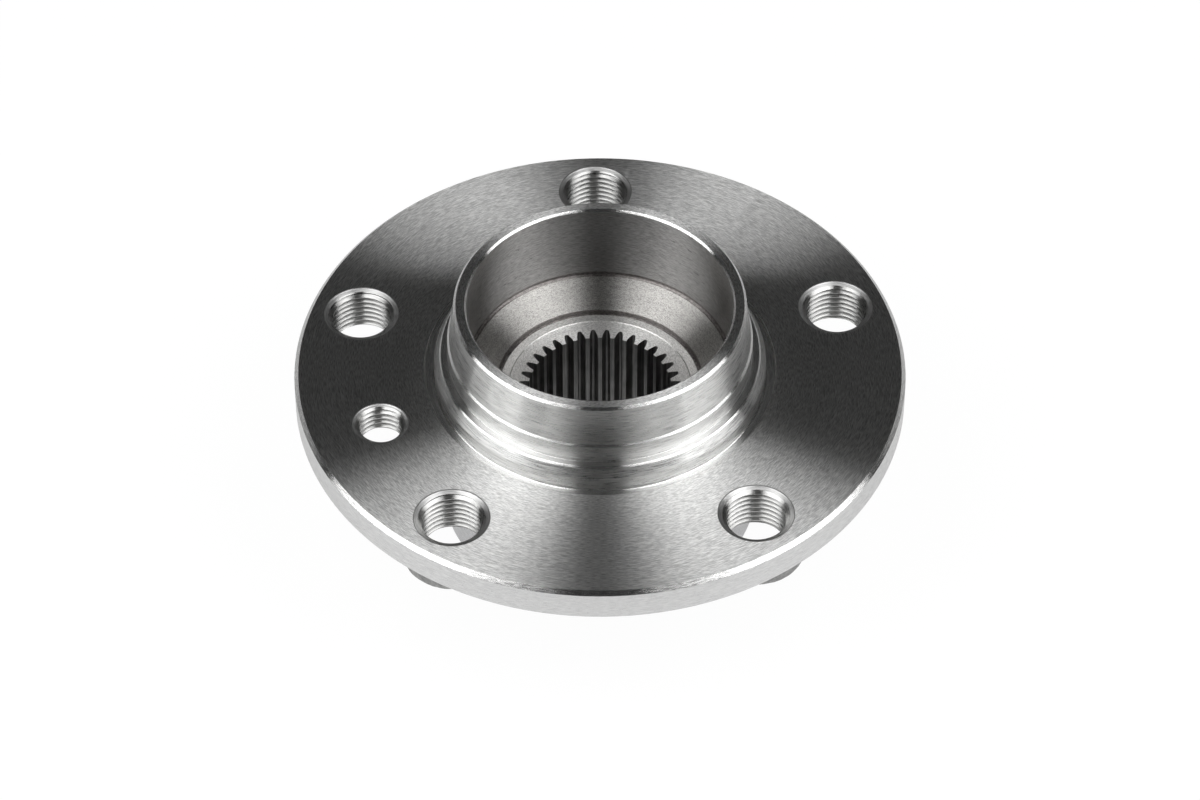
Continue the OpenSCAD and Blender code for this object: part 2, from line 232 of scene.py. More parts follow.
def rounded(corners, steps=3):
    """Turns corners given as (r, z, radius) into points, with an arc of that radius at each corner."""
    points = []
    for i, (r, z, radius) in enumerate(corners):
        here = Vector((r, z))
        if not radius:
            points.append(here)
            continue
        before = Vector(corners[i - 1][:2]) - here
        after = Vector(corners[(i + 1) % len(corners)][:2]) - here
        half = before.angle(after) / 2
        reach = min(radius / math.tan(half), 0.45 * before.length, 0.45 * after.length)
        middle = here + (before.normalized() + after.normalized()).normalized() * reach / math.cos(half)
        start = here + before.normalized() * reach - middle
        end = here + after.normalized() * reach - middle
        turn = start.angle_signed(end)
        for k in range(steps + 1):
            points.append(middle + Matrix.Rotation(-turn * k / steps, 2) @ start)
    return points


def arc(centre_r, centre_z, radius, start, end, steps=12):
    """Points of an arc as unrounded corners, from one angle to another, in radians from +r."""
    angles = [start + (end - start) * k / steps for k in range(steps + 1)]
    return [(centre_r + radius * math.cos(a), centre_z + radius * math.sin(a), 0) for a in angles]


def closed_mesh(name, rings):
    """Joins rings of points, in millimetres. Each ring closes, and the last one joins the first."""
    across = len(rings[0])
    points = [Vector(p) * MM for ring in rings for p in ring]
    faces = []
    for i in range(len(rings)):
        j = (i + 1) % len(rings)
        for k in range(across):
            m = (k + 1) % across
            faces.append((i * across + k, i * across + m, j * across + m, j * across + k))
    mesh = bpy.data.meshes.new(name)
    mesh.from_pydata(points, [], faces)
    return outward(mesh)


def outward(mesh):
    """Turns every face of a closed mesh outwards and makes it smooth."""
    shape = bmesh.new()
    shape.from_mesh(mesh)
    bmesh.ops.recalc_face_normals(shape, faces=shape.faces)
    shape.to_mesh(mesh)
    shape.free()
    mesh.shade_smooth()
    return mesh


def lathe(name, corners, steps=TURNED_STEPS):
    """Turns a closed half section, given as corners (r, z, radius), into a ring round the hub's axis."""
    section = rounded(corners)
    rings = []
    for i in range(steps):
        angle = 2 * math.pi * i / steps
        c, s = math.cos(angle), math.sin(angle)
        rings.append([(p.x * c, p.x * s, p.y) for p in section])
    return closed_mesh(name, rings)


def plug(name, corners, steps, centre):
    """Turns a half section that starts and ends on its own axis into a closed solid."""
    section = rounded(corners)
    shape = bmesh.new()
    caps = [shape.verts.new(Vector((*centre, z)) * MM) for z in (section[0].y, section[-1].y)]
    rings = []
    for i in range(steps):
        angle = 2 * math.pi * i / steps
        side = Vector((math.cos(angle), math.sin(angle)))
        rings.append([shape.verts.new(Vector((*(Vector(centre) + side * p.x), p.y)) * MM)
                      for p in section[1:-1]])
    for ring, after in zip(rings, rings[1:] + rings[:1]):
        shape.faces.new((caps[0], ring[0], after[0]))
        shape.faces.new((caps[1], after[-1], ring[-1]))
        for k in range(len(ring) - 1):
            shape.faces.new((ring[k], ring[k + 1], after[k + 1], after[k]))
    mesh = bpy.data.meshes.new(name)
    shape.to_mesh(mesh)
    shape.free()
    return outward(mesh)


def prism(name, outline, low, high):
    """Closed solid of an outline in the plane, from one height to another."""
    shape = bmesh.new()
    foot = [shape.verts.new(Vector((x, y, low)) * MM) for x, y in outline]
    head = [shape.verts.new(Vector((x, y, high)) * MM) for x, y in outline]
    shape.faces.new(foot)
    shape.faces.new(head)
    for k in range(len(outline)):
        m = (k + 1) % len(outline)
        shape.faces.new((foot[k], foot[m], head[m], head[k]))
    mesh = bpy.data.meshes.new(name)
    shape.to_mesh(mesh)
    shape.free()
    return outward(mesh)


def joined(name, meshes):
    """One mesh that holds all the given ones, as they are."""
    shape = bmesh.new()
    for mesh in meshes:
        shape.from_mesh(mesh)
    whole = bpy.data.meshes.new(name)
    shape.to_mesh(whole)
    shape.free()
    return whole


def applied(piece):
    """Bakes a piece's modifiers into its mesh."""
    bpy.context.view_layer.update()
    shown = piece.evaluated_get(bpy.context.evaluated_depsgraph_get())
    mesh = bpy.data.meshes.new_from_object(shown)
    piece.modifiers.clear()
    piece.data = mesh
    return piece


def combine(piece, operation, mesh):
    """Joins a mesh to a piece, or cuts it out of the piece."""
    tool = link("tool", mesh)
    boolean = piece.modifiers.new("combine", "BOOLEAN")
    boolean.object = tool
    boolean.operation = operation
    boolean.solver = "MANIFOLD"
    applied(piece)
    bpy.data.objects.remove(tool)
    return piece


def crisp(piece):
    """Marks the sharp edges and lets large faces set the normals of the small rounds beside them."""
    piece.data.shade_smooth()
    piece.data.set_sharp_from_angle(angle=SHARP_ANGLE)
    weighted = piece.modifiers.new("weighted", "WEIGHTED_NORMAL")
    weighted.keep_sharp = True
    weighted.weight = 100
    return applied(piece)


# Shaders

class Value:
    """A number socket on which Python's operators add Math nodes."""

    def __init__(self, sheet, socket):
        self.sheet = sheet
        self.socket = socket

    def math(self, operation, *values):
        return self.sheet.number("ShaderNodeMath", {"operation": operation}, dict(enumerate(values)))

    def __add__(self, other):
        return self.math("ADD", self, other)

    def __radd__(self, other):
        return self.math("ADD", other, self)

    def __sub__(self, other):
        return self.math("SUBTRACT", self, other)

    def __rsub__(self, other):
        return self.math("SUBTRACT", other, self)

    def __mul__(self, other):
        return self.math("MULTIPLY", self, other)

    def __rmul__(self, other):
        return self.math("MULTIPLY", other, self)

    def __truediv__(self, other):
        return self.math("DIVIDE", self, other)

    def __pow__(self, other):
        return self.math("POWER", self, other)

    def within(self, low, high):
        """0 below low, 1 above high, and smooth between."""
        return self.sheet.number(
            "ShaderNodeMapRange",
            {"interpolation_type": "SMOOTHSTEP", "clamp": True},
            {"Value": self, "From Min": low, "From Max": high})


class Sheet:
    """A node tree of a material or of the world."""

    def __init__(self, tree):
        self.tree = tree
        tree.nodes.clear()

    def node(self, kind, settings=None, values=None):
        """Adds a node: its settings are set first, then the values or links of its sockets."""
        made = self.tree.nodes.new(kind)
        for key, setting in (settings or {}).items():
            setattr(made, key, setting)
        for key, value in (values or {}).items():
            socket = made.inputs[key]
            if isinstance(value, Value):
                value = value.socket
            if isinstance(value, bpy.types.NodeSocket):
                self.tree.links.new(value, socket)
            else:
                socket.default_value = value
        return made

    def number(self, kind, settings, values):
        """Adds a node and gives its first output as a number."""
        return Value(self, self.node(kind, settings, values).outputs[0])

    def colour(self, low, high, share):
        """Mixes two colours by a value between 0 and 1."""
        mix = self.node("ShaderNodeMix", {"data_type": "RGBA"}, {"Factor": share})
        for key, value in (("A_Color", low), ("B_Color", high)):
            socket = next(s for s in mix.inputs if s.identifier == key)
            socket.default_value = (*value, 1)
        return next(s for s in mix.outputs if s.identifier == "Result_Color")

    def position(self):
        """The place on the piece, in millimetres: as a vector, and as x, y and z."""
        place = self.node("ShaderNodeTexCoord").outputs["Object"]
        in_mm = self.node(
            "ShaderNodeVectorMath", {"operation": "SCALE"}, {"Vector": place, "Scale": 1 / MM}).outputs[0]
        split = self.node("ShaderNodeSeparateXYZ", values={"Vector": in_mm})
        return in_mm, [Value(self, s) for s in split.outputs]

    def vector(self, x, y, z):
        return self.node("ShaderNodeCombineXYZ", values={"X": x, "Y": y, "Z": z}).outputs[0]

    def cloud(self, vector, scale, detail=2.0, roughness=0.5):
        """Noise between about 0.3 and 0.7."""
        return self.number(
            "ShaderNodeTexNoise",
            {"noise_dimensions": "3D"},
            {"Vector": vector, "Scale": scale, "Detail": detail, "Roughness": roughness})

    def bump(self, height, strength, distance_mm):
        return self.node("ShaderNodeBump", values={
            "Height": height, "Strength": strength, "Distance": distance_mm * MM}).outputs[0]


def material(name):
    made = bpy.data.materials.new(name)
    made.use_nodes = True
    return made, Sheet(made.node_tree)


def surface(sheet, values):
    """Ends a material in one surface shader with these values."""
    shader = sheet.node("ShaderNodeBsdfPrincipled", values=values)
    sheet.node("ShaderNodeOutputMaterial", values={"Surface": shader.outputs[0]})


def turned_steel(name, dark, light, rough, spread=0.06, across="r", line_mm=0.15, dashes=36.0,
                 grain=0.15, aniso=1.0, bump=0.3):
    """Lathe-turned steel: fine lines round the axis, broken into short dashes, and a little grain.

    across says along which of r and z the lines follow each other, and dashes how many go into a radian.
    The lines scatter light across themselves, so the steel shows bright fans towards each lamp.
    """
    made, sheet = material(name)
    place, (x, y, z) = sheet.position()
    radius = (x * x + y * y) ** 0.5
    along = {"r": radius, "z": z}[across]
    line_place = sheet.vector(x / radius * dashes, y / radius * dashes, along / line_mm)
    band_place = sheet.vector(x / radius * 2, y / radius * 2, along / (line_mm * 5))
    lines = sheet.cloud(line_place, scale=1.0, roughness=0.6)
    bands = sheet.cloud(band_place, scale=1.0, detail=3.0)
    specks = sheet.cloud(place, scale=5.0, roughness=0.6)
    mixed = (lines * (1 - grain) + specks * grain).within(0.32, 0.68)
    tone = (mixed * 0.75 + bands * 0.25).within(0.1, 0.9)
    surface(sheet, {
        "Base Color": sheet.colour(dark, light, tone),
        "Metallic": 1.0,
        "Roughness": rough + spread * (mixed - 0.5) + spread * (bands - 0.5),
        "Anisotropic": aniso,
        "Anisotropic Rotation": 0.25,
        "Normal": sheet.bump(mixed, strength=bump, distance_mm=0.03),
    })
    return made


def rough_steel(name, dark, light, rough, grain_mm=0.6, bump=0.5, depth_mm=0.1):
    """Steel with a grained skin, as forging and blasting leave it. The thread roots use it near black, as
    painted shade.
    """
    made, sheet = material(name)
    place = sheet.position()[0]
    lumps = sheet.cloud(place, scale=0.35 / grain_mm, detail=3.0)
    grain = sheet.cloud(place, scale=1 / grain_mm, detail=4.0, roughness=0.7)
    tone = (grain * 0.6 + lumps * 0.4).within(0.3, 0.7)
    surface(sheet, {
        "Base Color": sheet.colour(dark, light, tone),
        "Metallic": 1.0,
        "Roughness": rough + 0.18 * (grain - 0.5),
        "Normal": sheet.bump(grain + lumps, strength=bump, distance_mm=depth_mm),
    })
    return made


def moulded(name, dark, light, rough):
    """Plastic or rubber from a mould: faint flow marks and a fine grain."""
    grain_mm = 0.3
    made, sheet = material(name)
    place = sheet.position()[0]
    flow = sheet.cloud(place, scale=0.12, detail=3.0)
    grain = sheet.cloud(place, scale=1 / grain_mm)
    surface(sheet, {
        "Base Color": sheet.colour(dark, light, flow.within(0.3, 0.7)),
        "Roughness": rough + 0.12 * (grain - 0.5) + 0.1 * (flow - 0.5),
        "Normal": sheet.bump(grain, strength=0.15, distance_mm=0.03),
    })
    return made


def shaded_broached_steel(name):
    """The spline's flanks: streaks along the way of the broach, on a dark tone of painted shade for the
    inside of the bore.
    """
    made, sheet = material(name)
    place, (x, y, z) = sheet.position()
    streak_place = sheet.vector(x * 4, y * 4, z * 0.08)
    drawn = sheet.cloud(streak_place, scale=1.0, detail=3.0, roughness=0.6)
    patches = sheet.cloud(place, scale=0.25)
    tone = (drawn * 0.7 + patches * 0.3).within(0.3, 0.7)
    surface(sheet, {
        # Painted shade: these dark colours stand in for the shade inside the spline bore; the streaks are
        # the broach's own.
        "Base Color": sheet.colour((0.14, 0.14, 0.14), (0.34, 0.336, 0.33), tone),
        "Metallic": 1.0,
        "Roughness": 0.42 + 0.2 * (drawn - 0.5),
        "Normal": sheet.bump(drawn, strength=0.3, distance_mm=0.04),
    })
    return made


# Hub

def hub_section():
    """Half section of the hub as the lathe leaves it, with the small rounds of its broken edges."""
    core_r = SPLINE_TIP_R - 2 * CLEAR
    land_slope = (TOOTH_END_DEPTH - LAND_DEPTH) / (LAND_R - SPLINE_TIP_R)
    lead_foot_r = SPIGOT_R - SPIGOT_STEP
    lip_r = lead_foot_r - LEAD_IN
    ledge_r = SPIGOT_R + LEDGE_W
    groove_r = REGISTER_R + GROOVE_W
    entry_r = SPLINE_ROOT_R + SPLINE_ENTRY
    foot_r = RECESS_R + FOOT_GROOVE
    return [
        (core_r, -LAND_DEPTH - land_slope * (LAND_R - core_r), 0),
        (LAND_R, -LAND_DEPTH, EDGE),
        (LAND_R + LAND_STEP, -SEAT_DEPTH, EDGE),
        (SEAT_R, -SEAT_DEPTH, EDGE),
        (SEAT_R, -SEAT_DEPTH - SEAT_GROOVE_DEPTH, EDGE),
        (CONE_FOOT_R, -SEAT_DEPTH - SEAT_GROOVE_DEPTH, EDGE),
        (CONE_FOOT_R, -CONE_FOOT_DEPTH, 2 * EDGE),
        (RECESS_R - 2 * FOOT_W, -RECESS_DEPTH - CONE_RIM_DEPTH, EDGE),
        (RECESS_R - FOOT_W, -RECESS_DEPTH - CONE_RIM_DEPTH - 2 * FOOT_GROOVE, EDGE),
        (foot_r, -RECESS_DEPTH - 2 * FOOT_GROOVE, EDGE),
        (foot_r, -RECESS_DEPTH + FOOT_GROOVE, EDGE),
        (RECESS_R, -RECESS_DEPTH + 3 * FOOT_GROOVE, EDGE),
        (RECESS_R, LIP_TOP - RECESS_CHAMFER, EDGE),
        (RECESS_R + RECESS_CHAMFER, LIP_TOP, EDGE),
        (lip_r - LIP_CHAMFER, LIP_TOP, EDGE),
        (lip_r, LIP_TOP - LIP_CHAMFER, EDGE),
        (lead_foot_r, SPIGOT_TOP + SPIGOT_STEP, EDGE),
        (SPIGOT_R, SPIGOT_TOP, WORN_EDGE),
        (SPIGOT_R, LEDGE_TOP, EDGE),
        (ledge_r, LEDGE_TOP, WORN_EDGE),
        (ledge_r + LEDGE_BEVEL, LEDGE_TOP - LEDGE_BEVEL, EDGE),
        (REGISTER_R - REGISTER_BEVEL_W, REGISTER_TOP + REGISTER_BEVEL_H, WORN_EDGE),
        (REGISTER_R, REGISTER_TOP, WORN_EDGE),
        (REGISTER_R, -GROOVE_DEPTH, GROOVE_ROUND),
        (groove_r, -GROOVE_DEPTH, EDGE),
        (groove_r, -GROOVE_BEVEL, WORN_EDGE),
        (groove_r + GROOVE_BEVEL, 0, WORN_EDGE),
        (FLANGE_R - FACE_CHAMFER, 0, EDGE),
        (FLANGE_R, -FACE_CHAMFER, EDGE),
        (FLANGE_R, BACK_CHAMFER - FLANGE_T, EDGE),
        (FLANGE_R - BACK_CHAMFER, -FLANGE_T, EDGE),
        (SHOULDER_R, -FLANGE_T, SHOULDER_FILLET),
        (SHOULDER_R, -SHOULDER_DEPTH, EDGE),
        (SHANK_R, -SHOULDER_DEPTH, EDGE),
        (SHANK_R, SHANK_END + SHANK_CHAMFER, EDGE),
        (SHANK_R - SHANK_CHAMFER, SHANK_END, EDGE),
        (entry_r, SHANK_END, EDGE),
        (core_r, SHANK_END + entry_r - core_r, 0),
    ]


def bolt_angles():
    step = 2 * math.pi / BOLT_COUNT
    return [BOLT_PHASE + i * step for i in range(BOLT_COUNT)]


def bolt_places():
    return [(BOLT_CIRCLE_R * math.cos(a), BOLT_CIRCLE_R * math.sin(a)) for a in bolt_angles()]


# Middle and outer radius of each countersunk hole
HOLES = [(x, y, BOLT_THREAD_R + BOLT_SINK) for x, y in bolt_places()]
HOLES.append((LOCATOR_PLACE.x, LOCATOR_PLACE.y, LOCATOR_THREAD_R + LOCATOR_SINK))


def forged_web():
    """Bosses, ring and ribs behind the flange, melted into one forging with soft corners."""
    sunk = FORGING_OVERLAP - FLANGE_T
    parts = [lathe("ring", [
        (WEB_IN_R, sunk, 0),
        (WEB_IN_R, -WEB_DEPTH, 0),
        (WEB_OUT_R, -WEB_DEPTH, 0),
        (WEB_OUT_R, sunk, 0),
    ], WEB_STEPS)]
    for place, angle in zip(bolt_places(), bolt_angles()):
        parts.append(plug("boss", [
            (0, sunk, 0),
            (BOSS_R, sunk, 0),
            (BOSS_R - BOSS_TAPER, -BOSS_DEPTH, BOSS_ROUND),
            (0, -BOSS_DEPTH, 0),
        ], BOSS_STEPS, place))
        turn = Matrix.Rotation(angle, 2)
        outline = [turn @ Vector(p) for p in (
            (RIB_START_R, -RIB_ROOT_W / 2),
            (BOLT_CIRCLE_R, -RIB_TIP_W / 2),
            (BOLT_CIRCLE_R, RIB_TIP_W / 2),
            (RIB_START_R, RIB_ROOT_W / 2),
        )]
        parts.append(prism("rib", outline, -RIB_DEPTH, sunk))
    web = link("web", joined("web", parts))
    remesh = web.modifiers.new("melt", "REMESH")
    remesh.mode = "VOXEL"
    remesh.voxel_size = MELT_SIZE * MM
    soften = web.modifiers.new("soften", "SMOOTH")
    soften.factor = 0.5
    soften.iterations = 6
    applied(web)
    skin = [(point, point.normal.copy()) for point in web.data.vertices]
    for point, away in skin:
        point.co += away * (SKIN_HEIGHT * MM * noise.noise(point.co / (SKIN_SIZE * MM)))
    mesh = web.data
    bpy.data.objects.remove(web)
    return mesh


def hole_cutter(centre, thread_r, sink, depth):
    """What the tap and the countersinks take away: the tap's roots lie outside the drilled radius."""
    root_r = thread_r + THREAD_DEPTH
    sink_r = thread_r + sink
    return plug("hole", [
        (0, CLEAR, 0),
        (sink_r + EDGE + 2 * CLEAR, CLEAR, 0),
        (sink_r + EDGE, 0, 0),
        (sink_r - 2 * EDGE, -2 * EDGE, 0.1),
        (root_r, (root_r - thread_r - sink) / SINK_SLOPE, 0),
        (root_r, FAR_SINK - depth, 0),
        (root_r + FAR_SINK + CLEAR, -depth - CLEAR, 0),
        (0, -depth - CLEAR, 0),
    ], HOLE_STEPS, centre)


def spline_cutter():
    """The whole bore of the spline: involute spaces with rounded roots, and flat tooth tips between."""
    pitch_r = (SPLINE_ROOT_R + SPLINE_TIP_R) / 2
    base_r = pitch_r * math.cos(SPLINE_PRESSURE)

    def involute(angle):
        return math.tan(angle) - angle

    def half_space(radius):
        """Half the angle of a space at a radius, from the involute of the tooth flanks."""
        pressure = math.acos(min(1, base_r / radius))
        return math.pi / 2 / SPLINE_TEETH + involute(SPLINE_PRESSURE) - involute(pressure)

    flank_steps = 5
    root_r = SPLINE_ROOT_R - SPLINE_ROOT_ROUND
    radii = [SPLINE_TIP_R + (root_r - SPLINE_TIP_R) * k / flank_steps for k in range(flank_steps + 1)]
    flank = [(r, half_space(r)) for r in radii]
    last_half = flank[-1][1]
    root_steps = 4
    root = [(root_r + (SPLINE_ROOT_R - root_r) * math.sin(math.pi / 2 * k / root_steps),
             last_half * math.cos(math.pi / 2 * k / root_steps)) for k in range(1, root_steps + 1)]
    rise = flank + root
    space = [(r, -half) for r, half in rise] + [(r, half) for r, half in reversed(rise[:-1])]
    outline = []
    for tooth in range(SPLINE_TEETH):
        middle = 2 * math.pi * (tooth + 0.5) / SPLINE_TEETH
        outline += [(r * math.cos(middle + a), r * math.sin(middle + a)) for r, a in space]
        tip = middle + math.pi / SPLINE_TEETH
        outline.append((SPLINE_TIP_R * math.cos(tip), SPLINE_TIP_R * math.sin(tip)))
    return prism("spline", outline, SHANK_END - 3 * CLEAR, 0)


def hub_region(centre, normal):
    """Names the finish of a face of the hub from where its middle lies and how level it is."""
    near, level, sloped = 0.1, 0.95, 0.3
    r = math.hypot(centre.x, centre.y)
    z = centre.z
    if any(math.hypot(centre.x - x, centre.y - y) < reach + 2 * EDGE for x, y, reach in HOLES):
        if z < -near / 100 and (z > -FLANGE_T or normal.z > -level):
            # The hole walls behind the thread ridges get a near-black tone of painted shade.
            return "cut" if abs(normal.z) > sloped else "bore"
    # The spline's flanks get a dark tone of painted shade.
    if z < -CONE_FOOT_DEPTH and r < SPLINE_ROOT_R + near and abs(normal.z) < 0.5:
        return "spline"
    if -TOOTH_END_DEPTH - 2 * near < z < -CONE_FOOT_DEPTH and r < SEAT_R + near / 2:
        return "seat"
    # The seat groove gets a dark tone of painted shade.
    if -TOOTH_END_DEPTH < z < -CONE_FOOT_DEPTH + near and r < CONE_FOOT_R + 2 * near:
        return "seat_groove"
    # The recess wall's foot groove gets the same painted shade.
    groove_low = -RECESS_DEPTH - 3 * FOOT_W
    groove_top = -RECESS_DEPTH + 3 * FOOT_GROOVE
    if abs(r - RECESS_R) < 2.2 * FOOT_W and groove_low < z < groove_top + near / 2:
        return "seat_groove"
    # The floor and wall of the nut recess are darker than the face: painted shade of the recess.
    if -CONE_FOOT_DEPTH - near < z < 0 and r < RECESS_R - 2 * near:
        return "recess_floor"
    if z > -CLEAR and r < RECESS_R + near / 10:
        return "recess_wall"
    if z > LIP_TOP - LIP_CHAMFER:
        return "lip" if normal.z > level else "chamfer"
    if z > -GROOVE_DEPTH - near and r < REGISTER_R + GROOVE_W + GROOVE_BEVEL + near:
        return "collar" if abs(normal.z) < 2 * sloped else "ledges"
    if z > -FACE_CHAMFER and r < FLANGE_R - FACE_CHAMFER + EDGE:
        return "face"
    if r > FLANGE_R - FACE_CHAMFER and z > -FLANGE_T + near:
        return "chamfer" if normal.z > sloped else "rim"
    if r > SHOULDER_R + SHOULDER_FILLET - 2 * near and z > -BOSS_DEPTH - CLEAR:
        return "forging"
    return "ground"


def hub_piece():
    piece = link("hub_body", lathe("hub_body", hub_section()))
    combine(piece, "UNION", forged_web())
    cutters = [hole_cutter(place, BOLT_THREAD_R, BOLT_SINK, BOSS_DEPTH) for place in bolt_places()]
    cutters.append(hole_cutter(LOCATOR_PLACE.xy, LOCATOR_THREAD_R, LOCATOR_SINK, FLANGE_T))
    cutters.append(spline_cutter())
    combine(piece, "DIFFERENCE", joined("cutters", cutters))
    crisp(piece)
    finishes = hub_finishes()
    names = list(finishes)
    piece.data.materials.clear()
    for finish in finishes.values():
        piece.data.materials.append(finish)
    for face in piece.data.polygons:
        face.material_index = names.index(hub_region(face.center / MM, face.normal))
    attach(piece, "wheel_side")
    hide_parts("hub")
    return piece


def hub_finishes():
    """The finish of each region of the hub, with painted shade in the dark tones of its grooves, recess,
    spline and thread roots.
    """
    return {
        "face": turned_steel(
            "turned_face", (0.46, 0.46, 0.457), (0.86, 0.86, 0.85), 0.4, line_mm=0.12, bump=0.22),
        "collar": turned_steel(
            "turned_collar", (0.54, 0.54, 0.536), (0.76, 0.76, 0.75), 0.29,
            across="z", line_mm=0.22, dashes=8.0, bump=0.03),
        "ledges": turned_steel(
            "turned_ledges", (0.6, 0.6, 0.597), (0.78, 0.78, 0.77), 0.22, dashes=8.0, bump=0.0),
        "lip": turned_steel(
            "faced_lip", (0.52, 0.52, 0.517), (0.97, 0.97, 0.96), 0.36, bump=0.5),
        "chamfer": turned_steel(
            "turned_chamfer", (0.46, 0.46, 0.457), (0.78, 0.78, 0.77), 0.22, across="z", bump=0.1),
        "rim": turned_steel(
            "turned_rim", (0.52, 0.52, 0.52), (0.68, 0.68, 0.675), 0.3, across="z", aniso=0.8, bump=0.15),
        # Painted shade: the recess wall and floor are darker than the face, for the shade in the nut
        # recess; the floor's warm grain is its own.
        "recess_wall": turned_steel(
            "recess_wall", (0.32, 0.316, 0.312), (0.52, 0.515, 0.51), 0.31,
            across="z", dashes=20.0, bump=0.05),
        "recess_floor": turned_steel(
            "recess_floor", (0.24, 0.233, 0.225), (0.56, 0.55, 0.53), 0.4, grain=0.6, bump=0.25),
        # Painted shade: a dark steel tone for the seat groove and the recess wall's foot groove.
        "seat_groove": turned_steel(
            "seat_groove", (0.16, 0.15, 0.145), (0.34, 0.32, 0.31), 0.4, across="z"),
        "seat": turned_steel(
            "nut_seat", (0.5, 0.495, 0.485), (0.84, 0.835, 0.82), 0.4, aniso=0.8, bump=0.25),
        "spline": shaded_broached_steel("broached_spline"),
        "cut": turned_steel(
            "cut_steel", (0.44, 0.44, 0.437), (0.58, 0.58, 0.575), 0.36, across="z", aniso=0.0, bump=0.03),
        # Painted shade: the thread roots are near black, for the shade between the ridges.
        "bore": rough_steel("thread_root", (0.03, 0.03, 0.03), (0.08, 0.08, 0.08), 0.5),
        "forging": rough_steel("forged_skin", (0.2, 0.2, 0.2), (0.38, 0.38, 0.372), 0.5, bump=0.8),
        "ground": turned_steel(
            "ground_steel", (0.6, 0.6, 0.6), (0.75, 0.75, 0.745), 0.24, across="z", aniso=0.4, bump=0.1),
    }


# Repeated pieces, made by geometry nodes

class Nodes:
    """A geometry node tree with named inputs, for a piece whose shape repeats."""

    def __init__(self, name):
        self.tree = bpy.data.node_groups.new(name, "GeometryNodeTree")
        self.tree.interface.new_socket("Geometry", in_out="OUTPUT", socket_type="NodeSocketGeometry")
        self.start = self.tree.nodes.new("NodeGroupInput")
        self.sockets = {}

    def ask(self, name, kind="Float"):
        """Adds a named input and gives its socket inside the tree."""
        made = self.tree.interface.new_socket(name, in_out="INPUT", socket_type=f"NodeSocket{kind}")
        self.sockets[name] = made.identifier
        return next(s for s in self.start.outputs if s.identifier == made.identifier)

    def node(self, kind, settings=None, values=None):
        made = self.tree.nodes.new(kind)
        for key, setting in (settings or {}).items():
            setattr(made, key, setting)
        for key, value in (values or {}).items():
            socket = made.inputs[key]
            if isinstance(value, bpy.types.NodeSocket):
                self.tree.links.new(value, socket)
            else:
                socket.default_value = value
        return made.outputs

    def math(self, operation, *values):
        return self.node("ShaderNodeMath", {"operation": operation}, dict(enumerate(values)))[0]

    def circle_of_points(self, count, radius, phase, height):
        """Points spaced evenly on a circle round the axis, each turned to face outwards."""
        index = self.node("GeometryNodeInputIndex")[0]
        step = self.math("DIVIDE", 2 * math.pi, count)
        angle = self.math("ADD", self.math("MULTIPLY", index, step), phase)
        x = self.math("MULTIPLY", self.math("COSINE", angle), radius)
        y = self.math("MULTIPLY", self.math("SINE", angle), radius)
        place = self.node("ShaderNodeCombineXYZ", values={"X": x, "Y": y, "Z": height})[0]
        turn = self.node("ShaderNodeCombineXYZ", values={"Z": angle})[0]
        points = self.node("GeometryNodePoints", values={"Count": count, "Position": place})[0]
        return points, turn

    def finish(self, points, turn, instance, finish):
        """Puts the instance on every point, makes it real and gives it its material."""
        placed = self.node("GeometryNodeInstanceOnPoints",
                           values={"Points": points, "Instance": instance, "Rotation": turn})[0]
        real = self.node("GeometryNodeRealizeInstances", values={"Geometry": placed})[0]
        smooth = self.node("GeometryNodeSetShadeSmooth", values={"Geometry": real})[0]
        dressed = self.node("GeometryNodeSetMaterial", values={"Geometry": smooth, "Material": finish})[0]
        end = self.tree.nodes.new("NodeGroupOutput")
        self.tree.links.new(dressed, end.inputs["Geometry"])
        return self


def grown(name, nodes, values):
    """Runs a geometry node tree with these inputs and keeps the result as a plain mesh."""
    piece = link(name, bpy.data.meshes.new(name))
    modifier = piece.modifiers.new("grown", "NODES")
    modifier.node_group = nodes.tree
    for key, value in values.items():
        modifier[nodes.sockets[key]] = value
    return applied(piece)


